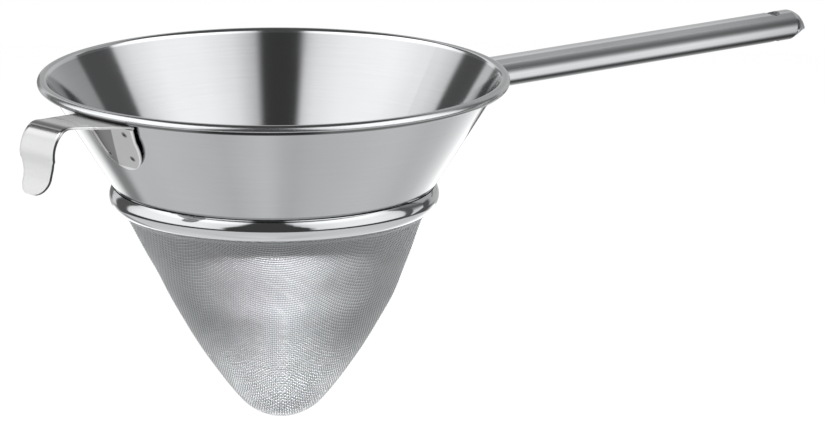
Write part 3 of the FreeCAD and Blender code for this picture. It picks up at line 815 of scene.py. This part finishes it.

# %% [markdown]
# The hook's colour changes along the strip, and most of that change is painted light. The drop is brushed,
# its tones down its length are painted reflections, and its near edge is painted dark as a painted dark
# reflection. A painted dark line of shade crosses the start of the bend, and painted shade marks a crease on
# the arm. The tab has a darker grey face, and left of a slanting line it carries a painted dark reflection,
# up to a painted bright reflection between two painted shadow lines along its far edge. Its foot and near
# edge are painted lighter, as painted highlights. Separate materials would need hard borders, so one material
# blends tones by place. Places are metres here.

# %% Hook finish and painted light: the tab
TAB_X, TAB_Z = (-0.0960, -0.0950), (-0.0075, -0.0065)
# A darker tab face, and a painted dark reflection left of a slanting line.
TAB_TONE, SLANT_SIDE_PAINTED_REFLECTION = 0.63, 0.25
SLANT_SIDE_SLOPE, SLANT_SIDE_SHIFT, SLANT_SIDE_SOFT = 0.453, 0.00683, 0.0004
# A painted bright reflection between two painted shadow lines along the far edge.
FAR_EDGE_PAINTED_LIGHT = ((0.62, 0.68, 0.12), (0.68, 0.86, 1.1), (0.86, 1.1, 0.1))
FAR_EDGE_SOFT, FAR_EDGE_Z = 0.012, (-0.0235, -0.0215)
# Painted highlights on the tab's foot and near edge.
TAB_FOOT_Z, TAB_FOOT_HIGHLIGHT = (-0.0270, -0.0265), 1.0
TAB_EDGE, TAB_EDGE_HIGHLIGHT = (-0.95, -0.92), 0.95


def tab_painted_light(tree, spot, across):
    """The tone of the tab: a painted dark reflection, a painted bright reflection between painted shadow
    lines, and painted highlights on its edges.
    """
    slant = math_node(tree, "MULTIPLY_ADD", spot["Z"], SLANT_SIDE_SLOPE, SLANT_SIDE_SHIFT)
    slant_side_shaded = soft_step(tree, math_node(tree, "ADD", spot["Y"], slant), -SLANT_SIDE_SOFT, SLANT_SIDE_SOFT)
    tone = blend(tree, TAB_TONE, SLANT_SIDE_PAINTED_REFLECTION, slant_side_shaded)
    for low, high, far_edge_light in FAR_EDGE_PAINTED_LIGHT:
        far_edge_band = times(tree, band(tree, across, low, high, FAR_EDGE_SOFT), soft_step(tree, spot["Z"], *FAR_EDGE_Z))
        tone = blend(tree, tone, far_edge_light, far_edge_band)
    tone = blend(tree, tone, TAB_FOOT_HIGHLIGHT, soft_step(tree, spot["Z"], *TAB_FOOT_Z, 1.0, 0.0))
    return blend(tree, tone, TAB_EDGE_HIGHLIGHT, soft_step(tree, across, *TAB_EDGE, 1.0, 0.0))


# %% [markdown]
# The arm and the drop follow graphs of painted light and shade, along the arm by X and down the drop by Z. A
# mask joins them with the tab.

# %% Hook finish and painted light: the whole strip
# Painted reflections down the drop, painted shade at the start of the bend and along the drop's near edge.
DROP_PAINTED_LIGHT = ((-0.032, 0.93), (-0.023, 1.0), (-0.0185, 1.22), (-0.0155, 1.22), (-0.010, 0.97), (-0.004, 0.88))
ARM_PAINTED_SHADE = ((-0.1269, 1.0), (-0.1265, 0.5), (-0.1255, 0.18), (-0.1245, 0.22), (-0.1235, 0.4),
             (-0.1222, 0.66), (-0.1210, 0.9), (-0.1190, 1.0))
BRIGHTEST_DROP_HIGHLIGHT = 1.4
DROP_EDGE, DROP_EDGE_PAINTED_SHADE = (-0.97, -0.94), 0.12
# Painted shade along a crease in the arm.
CREASE, CREASE_SOFT, CREASE_PAINTED_SHADE = (-0.1120, -0.1110), 0.0004, 0.78
ROUGH_X, STRIP_EXTRA = (-0.113, -0.108), 0.38


def hook_painted_light(tree):
    """The factor for the hook's colour, painted light and shade, from its place and from the stored values.
    """
    spot, across = parts_of(tree, object_place(tree)), stored(tree, "across")
    on_tab = times(tree, soft_step(tree, spot["X"], *TAB_X), soft_step(tree, spot["Z"], *TAB_Z, 1.0, 0.0))
    drop = blend(tree, graph(tree, spot["Z"], DROP_PAINTED_LIGHT, BRIGHTEST_DROP_HIGHLIGHT), DROP_EDGE_PAINTED_SHADE,
                 soft_step(tree, across, *DROP_EDGE, 1.0, 0.0))
    arm = blend(tree, graph(tree, spot["X"], ARM_PAINTED_SHADE, 1.0), CREASE_PAINTED_SHADE,
                band(tree, spot["X"], *CREASE, CREASE_SOFT))
    strip = blend(tree, arm, drop, stored(tree, "dropping"))
    return blend(tree, strip, tab_painted_light(tree, spot, across), on_tab)


def strip_roughness(tree):
    """The extra roughness of the drop, and of the arm close to the collar."""
    spot = parts_of(tree, object_place(tree))
    at_collar = times(tree, soft_step(tree, spot["X"], *ROUGH_X), soft_step(tree, spot["Z"], *TAB_Z))
    rough_share = math_node(tree, "MAXIMUM", stored(tree, "dropping"), at_collar)
    return times(tree, rough_share, STRIP_EXTRA)


shade(hook_steel, hook_painted_light)
roughen(hook_steel, strip_roughness)
print("hook_steel has", len(hook_steel.node_tree.nodes), "nodes")

# %% [markdown]
# Four spot welds hold the tab. Each one is a small crater on the tab's outer face: a raised lip round a
# shallow middle. A bump could draw it, but real relief also shows from the side, so each crater is a
# profile that is turned about the direction straight out of the tab. An attribute marks the middle, and the
# weld material is burnt darker there.

# %% Spot welds
CRATER = ((1.45, -0.25), (1.45, 0.02), (1.2, 0.09), (0.95, 0.10), (0.7, 0.02), (0.1, 0.02))
CRATER_STEPS = 20
BURNT_FROM = 4
BURNT_TONE = 0.15
SPOTS = ((9.6, 10.4), (9.6, -10.4), (21.5, 7.0), (21.5, -7.0))
tab_way = Vector((math.sin(CONE), math.cos(CONE)))
tab_out = Vector((math.cos(CONE), -math.sin(CONE)))
vertices, faces, burn_values = [], [], []
for depth, across in SPOTS:
    middle = tab_foot + tab_way * ((-tab_foot.y - depth) / math.cos(CONE)) + tab_out * SHEET / 2
    middle -= tab_out * max(across, 0) ** 2 / (2 * COLLAR_BEND)
    rings = []
    for number, (radius, height) in enumerate(CRATER):
        ring = []
        for step in range(CRATER_STEPS):
            angle = math.tau * step / CRATER_STEPS
            place = middle + tab_way * radius * math.sin(angle) + tab_out * height
            ring.append((-place.x, across + radius * math.cos(angle), place.y))
        rings.append(ring)
        burn_values += [float(number >= BURNT_FROM)] * CRATER_STEPS
    spot_vertices, spot_faces = loft(rings)
    faces += [tuple(number + len(vertices) for number in face) for face in spot_faces]
    vertices += spot_vertices
craters = new_piece("spot_craters", vertices, faces, weld_steel, "hook_spot_welds", "weld_bead",
                    hard_angle=60)
craters.data.attributes.new("burn", "FLOAT", "POINT").data.foreach_set("value", burn_values)


def burnt(tree):
    """The factor for the weld's colour."""
    return output(tree, "ShaderNodeMapRange", Value=stored(tree, "burn"), i3=1.0, i4=BURNT_TONE)


shade(weld_steel, burnt)

# %% [markdown]
# ## Studio
# The camera stands where the photograph was taken: far away, with a long lens. Its three axes and its place
# are written out, and they are the columns of its matrix.

# %% Camera
PICTURE_WIDTH, FOCAL_PIXELS, SENSOR = 825, 6000, 36
CAMERA_RIGHT = (0.721150, -0.692780, 0.001080)
CAMERA_UP = (0.161196, 0.169317, 0.972290)
CAMERA_BACK = (-0.673768, -0.700989, 0.233776)
CAMERA_PLACE = (-1.67588, -1.82839, 0.53588)
camera_data = bpy.data.cameras.new("camera")
camera_data.sensor_width = SENSOR
camera_data.lens = SENSOR * FOCAL_PIXELS / PICTURE_WIDTH
camera_data.clip_end = 20
camera = bpy.data.objects.new("camera", camera_data)
camera.matrix_world = Matrix((*zip(CAMERA_RIGHT, CAMERA_UP, CAMERA_BACK, CAMERA_PLACE), (0, 0, 0, 1)))
scene.collection.objects.link(camera)
scene.camera = camera
print("lens", round(camera_data.lens, 1), "mm")

# %% [markdown]
# Polished steel shows its surroundings, so the studio matters as much as the materials. It could be built
# from real boxes and paper, but it is easier to tune when it is drawn into the world by bearing and
# elevation, both in degrees: bearing 0 is straight at the camera and grows towards the right of the
# picture.

# %% World: bearing and elevation
TO_CAMERA, TO_RIGHT = (-0.6757, -0.7372, 0.0), (0.7212, -0.6928, 0.0)
world = bpy.data.worlds.new("studio")
world.use_nodes = True
scene.world = world
tree = world.node_tree
tree.nodes.clear()
way = add_node(tree, "ShaderNodeTexCoord").outputs["Generated"]
forwards = vector_value(tree, "DOT_PRODUCT", way, TO_CAMERA)
sideways = vector_value(tree, "DOT_PRODUCT", way, TO_RIGHT)
bearing = times(tree, math_node(tree, "ARCTAN2", sideways, forwards), 180 / math.pi)
elevation = times(tree, math_node(tree, "ARCSINE", parts_of(tree, way)["Z"]), 180 / math.pi)
off_front = math_node(tree, "ABSOLUTE", bearing)
print("bearing and elevation take", len(tree.nodes), "nodes")

# %% [markdown]
# First the light surroundings: soft boxes above the horizon, white paper below it, and the floor under the
# strainer. The boxes are brightest at their upper ends, and above them the ceiling is dark.

# %% World: light surroundings
HORIZON, HORIZON_EDGE = -17.0, 1.0
BOXES = ((-180, 0.75), (-158, 0.8), (-150, 1.15), (-120, 1.5), (-108, 1.85), (-80, 2.0), (-50, 1.85),
         (-30, 1.6), (-15, 1.0), (15, 1.0), (30, 1.6), (50, 1.85), (75, 1.9), (92, 1.7), (102, 1.4),
         (128, 0.7), (150, 0.8), (180, 0.75))
PAPER = ((-180, 2.0), (-167, 1.65), (-152, 1.15), (-140, 0.95), (-110, 0.92), (110, 0.92), (126, 0.88),
         (140, 0.95), (152, 1.2), (167, 1.65), (180, 2.0))
FLOOR = ((-180, 1.0), (-110, 1.04), (-60, 0.88), (-40, 0.96), (-15, 1.02), (0, 0.98), (15, 0.88),
         (32, 0.84), (55, 0.92), (110, 1.04), (180, 1.0))
BRIGHTEST = 2.0
PAPER_END, FLOOR_START = -40.0, -62.0
BOX_RISE, BOX_LEVELS = (22.0, 44.0), (0.76, 1.0)
CEILING_TURN, CEILING_HEIGHTS, CEILING_SOFT, CEILING_LEVEL = (100.0, 140.0), (56.0, 46.0), 4.0, 0.1
boxes, paper, floor_light = [graph(tree, bearing, points, BRIGHTEST) for points in (BOXES, PAPER, FLOOR)]
paper = blend(tree, paper, floor_light, soft_step(tree, elevation, PAPER_END, FLOOR_START))
boxes = times(tree, boxes, soft_step(tree, elevation, *BOX_RISE, *BOX_LEVELS))
level = blend(tree, paper, boxes, soft_step(tree, elevation, HORIZON - HORIZON_EDGE, HORIZON + HORIZON_EDGE))
ceiling = soft_step(tree, off_front, *CEILING_TURN, *CEILING_HEIGHTS)
over_ceiling = math_node(tree, "SUBTRACT", elevation, ceiling)
level = blend(tree, level, CEILING_LEVEL, soft_step(tree, over_ceiling, -CEILING_SOFT, CEILING_SOFT))
print("boxes, paper and floor have", len(BOXES) + len(PAPER) + len(FLOOR), "stops")

# %% [markdown]
# Then the dark shapes that draw the crisp stripes on the steel: the line of the horizon, the camera's stand
# in front, which narrows upwards, and gaps between the boxes on the left and on the right. A soft smudge
# lies below the gap on the left.

# %% World: dark shapes
HORIZON_HALF, HORIZON_SOFT, HORIZON_TURN, HORIZON_LEVEL = 5.5, 1.5, (135.0, 160.0), 0.07
STAND = ((-22, 32), (2, 31), (8, 28.5), (22, 21), (37, 18), (52, 15.5), (65, 13), (78, 10))
WIDEST_STAND, STAND_SHIFT, STAND_SOFT, STAND_FOOT, STAND_LEVEL = 40.0, 3.5, 3.5, (-22.0, -18.0), 0.072
DARK_SHAPES = (((-141.5, -121.5, 2), (-20, 58, 3), 0.13),
               ((-151, -137, 5), (-42, -24, 5), 0.38),
               ((-168, -151.5, 2), (-10, 8, 3), 0.2),
               ((102.5, 127.5, 1.5), (-20, 39, 6), 0.14),
               ((110, 137.5, 3), (-20, 10, 3), 0.12),
               ((106, 152, 3), (33, 50, 4), 0.45))
horizon = band(tree, elevation, HORIZON - HORIZON_HALF, HORIZON + HORIZON_HALF, HORIZON_SOFT)
horizon = times(tree, horizon, soft_step(tree, off_front, *HORIZON_TURN, 1.0, 0.0))
level = blend(tree, level, HORIZON_LEVEL, horizon)
off_stand = math_node(tree, "ABSOLUTE", math_node(tree, "ADD", bearing, STAND_SHIFT))
stand_edge = math_node(tree, "SUBTRACT", off_stand, graph(tree, elevation, STAND, WIDEST_STAND))
stand = times(tree, soft_step(tree, stand_edge, -STAND_SOFT, STAND_SOFT, 1.0, 0.0),
              soft_step(tree, elevation, *STAND_FOOT))
level = blend(tree, level, STAND_LEVEL, stand)
for across_band, upright_band, dark in DARK_SHAPES:
    shape = times(tree, band(tree, bearing, *across_band), band(tree, elevation, *upright_band))
    level = blend(tree, level, dark, shape)
print("dark shapes:", len(DARK_SHAPES) + 2)

# %% [markdown]
# The background of the picture is white, and the steel needs the studio. Light Path tells the rays apart:
# camera rays see plain white, mirrored rays see the studio, and all other rays get an even fill.

# %% World: which rays see what
WHITE, FILL_LEVEL = (1, 1, 1, 1), 0.6
studio, white, fill = [output(tree, "ShaderNodeBackground", Color=WHITE, Strength=strength)
                       for strength in (level, 1.0, FILL_LEVEL)]
rays = add_node(tree, "ShaderNodeLightPath").outputs
mirrored = math_node(tree, "MAXIMUM", rays["Is Glossy Ray"], rays["Is Transmission Ray"])
unseen = output(tree, "ShaderNodeMixShader", i0=mirrored, i1=fill, i2=studio)
seen = output(tree, "ShaderNodeMixShader", i0=rays["Is Camera Ray"], i1=unseen, i2=white)
add_node(tree, "ShaderNodeOutputWorld", Surface=seen)
print("world has", len(tree.nodes), "nodes")

# %% [markdown]
# The strainer hangs above a round pale floor. The floor looks white to the camera, and a share of real
# diffuse shading keeps the soft shadow on it. The steel mirrors the paper that the world shows there
# instead.

# %% Floor
FLOOR_HEIGHT, FLOOR_RADIUS, FLOOR_SIDES = -0.28, 1.4, 96
PAPER_WHITE = (0.86, 0.86, 0.86, 1)
GLOW, GLOW_SHARE = 1.06, 0.8
floor_paint = bpy.data.materials.new("floor_paint")
floor_paint.use_nodes = True
tree = floor_paint.node_tree
tree.nodes.clear()
diffuse = output(tree, "ShaderNodeBsdfDiffuse", Color=PAPER_WHITE)
glow = output(tree, "ShaderNodeEmission", Color=WHITE, Strength=GLOW)
camera_ray = add_node(tree, "ShaderNodeLightPath").outputs["Is Camera Ray"]
share = times(tree, camera_ray, GLOW_SHARE)
surface = output(tree, "ShaderNodeMixShader", i0=share, i1=diffuse, i2=glow)
add_node(tree, "ShaderNodeOutputMaterial", Surface=surface)
corners = []
for index in range(FLOOR_SIDES):
    angle = math.tau * index / FLOOR_SIDES
    corners.append((FLOOR_RADIUS * math.cos(angle), FLOOR_RADIUS * math.sin(angle), FLOOR_HEIGHT))
floor_mesh = bpy.data.meshes.new("floor")
floor_mesh.from_pydata(corners, [], [tuple(range(FLOOR_SIDES))])
floor_mesh.materials.append(floor_paint)
floor = bpy.data.objects.new("floor", floor_mesh)
floor.visible_glossy = False
scene.collection.objects.link(floor)
print("floor is", 2 * FLOOR_RADIUS, "m across")

# %% [markdown]
# Two cards stand beside and below the handle, as flags do in a studio. Only mirrored rays see them, so they
# draw the handle's stripes and cast no shadow. Each card is a strip along the handle, and its level follows
# a graph across the strip. Millimetres: X runs along the handle, and Y is negative on the camera's side of
# it.

# %% Cards for the handle
BESIDE_CORNERS = ((235, -150, -131), (720, -150, -131), (720, -150, 200), (235, -150, 200))
BESIDE_LEVELS = ((-131, 0.95), (-81, 0.98), (-54, 0.76), (-17, 0.32), (21, 0.15), (68, 0.18), (144, 0.30),
                 (200, 0.42))
BELOW_CORNERS = ((118, -31, -51), (372, -31, -51), (372, 80, -51), (118, 80, -51))
BELOW_LEVELS = ((-31, 0.95), (-22, 0.8), (-14, 0.25), (-8, 0.04), (0, 0.10), (14, 0.4), (40, 0.75), (80, 0.8))


def card(name, corners, axis, levels):
    """A glowing strip whose level changes along one axis, by points of place and level."""
    paint = bpy.data.materials.new(name)
    paint.use_nodes = True
    tree = paint.node_tree
    tree.nodes.clear()
    points = [(place * MM, level) for place, level in levels]
    strength = graph(tree, parts_of(tree, object_place(tree))[axis], points, 1.0)
    glow = output(tree, "ShaderNodeEmission", Color=WHITE, Strength=strength)
    add_node(tree, "ShaderNodeOutputMaterial", Surface=glow)
    mesh = bpy.data.meshes.new(name)
    mesh.from_pydata([Vector(corner) * MM for corner in corners], [], [(0, 1, 2, 3)])
    mesh.materials.append(paint)
    strip = bpy.data.objects.new(name, mesh)
    strip.visible_camera = strip.visible_diffuse = strip.visible_shadow = strip.visible_transmission = False
    scene.collection.objects.link(strip)
    print(name, "has", len(levels), "levels")


card("card_beside_handle", BESIDE_CORNERS, "Z", BESIDE_LEVELS)
card("card_below_handle", BELOW_CORNERS, "Y", BELOW_LEVELS)

# %% [markdown]
# Three lamps remain. The first is soft, stands high behind the strainer and throws the shadow on the floor.
# The other two shine on the woven bag alone, through light linking. One stands high in front: the clamp
# ring shades the top of the bag, and the wires glitter below. The last is a narrow spot low in front that
# lights the tip.

# %% Lamps and colour
BAG_MIDDLE, BAG_TIP = (0, 0, -0.08), (-0.009, -0.013, -0.128)


def lamp(name, kind, watts, place, target, **settings):
    """A lamp that looks at a target."""
    data = bpy.data.lights.new(name, kind)
    data.energy = watts
    for setting, value in settings.items():
        setattr(data, setting, value)
    holder = bpy.data.objects.new(name, data)
    holder.location = place
    holder.rotation_euler = (Vector(target) - holder.location).to_track_quat("-Z", "Y").to_euler()
    scene.collection.objects.link(holder)
    print(name, "has", watts, "W")
    return holder


key = lamp("key", "AREA", watts=13, place=(0.44, 0.48, 1.13), target=BAG_MIDDLE, shape="DISK", size=0.35)
key.visible_glossy = False
glitter = lamp("glitter", "AREA", watts=50, place=(-0.488, -0.532, 0.75), target=BAG_MIDDLE, shape="DISK",
               size=0.1)
tip_spot = lamp("tip_spot", "SPOT", watts=92, place=(-0.61, -0.66, -0.25), target=BAG_TIP,
                shadow_soft_size=0.02, spot_size=math.radians(4.2), spot_blend=1.0)
lit = bpy.data.collections.new("lit_wires")
for wires in bag_wires:
    lit.objects.link(wires)
for front_lamp in (glitter, tip_spot):
    front_lamp.light_linking.receiver_collection = lit
scene.view_settings.view_transform = "Standard"
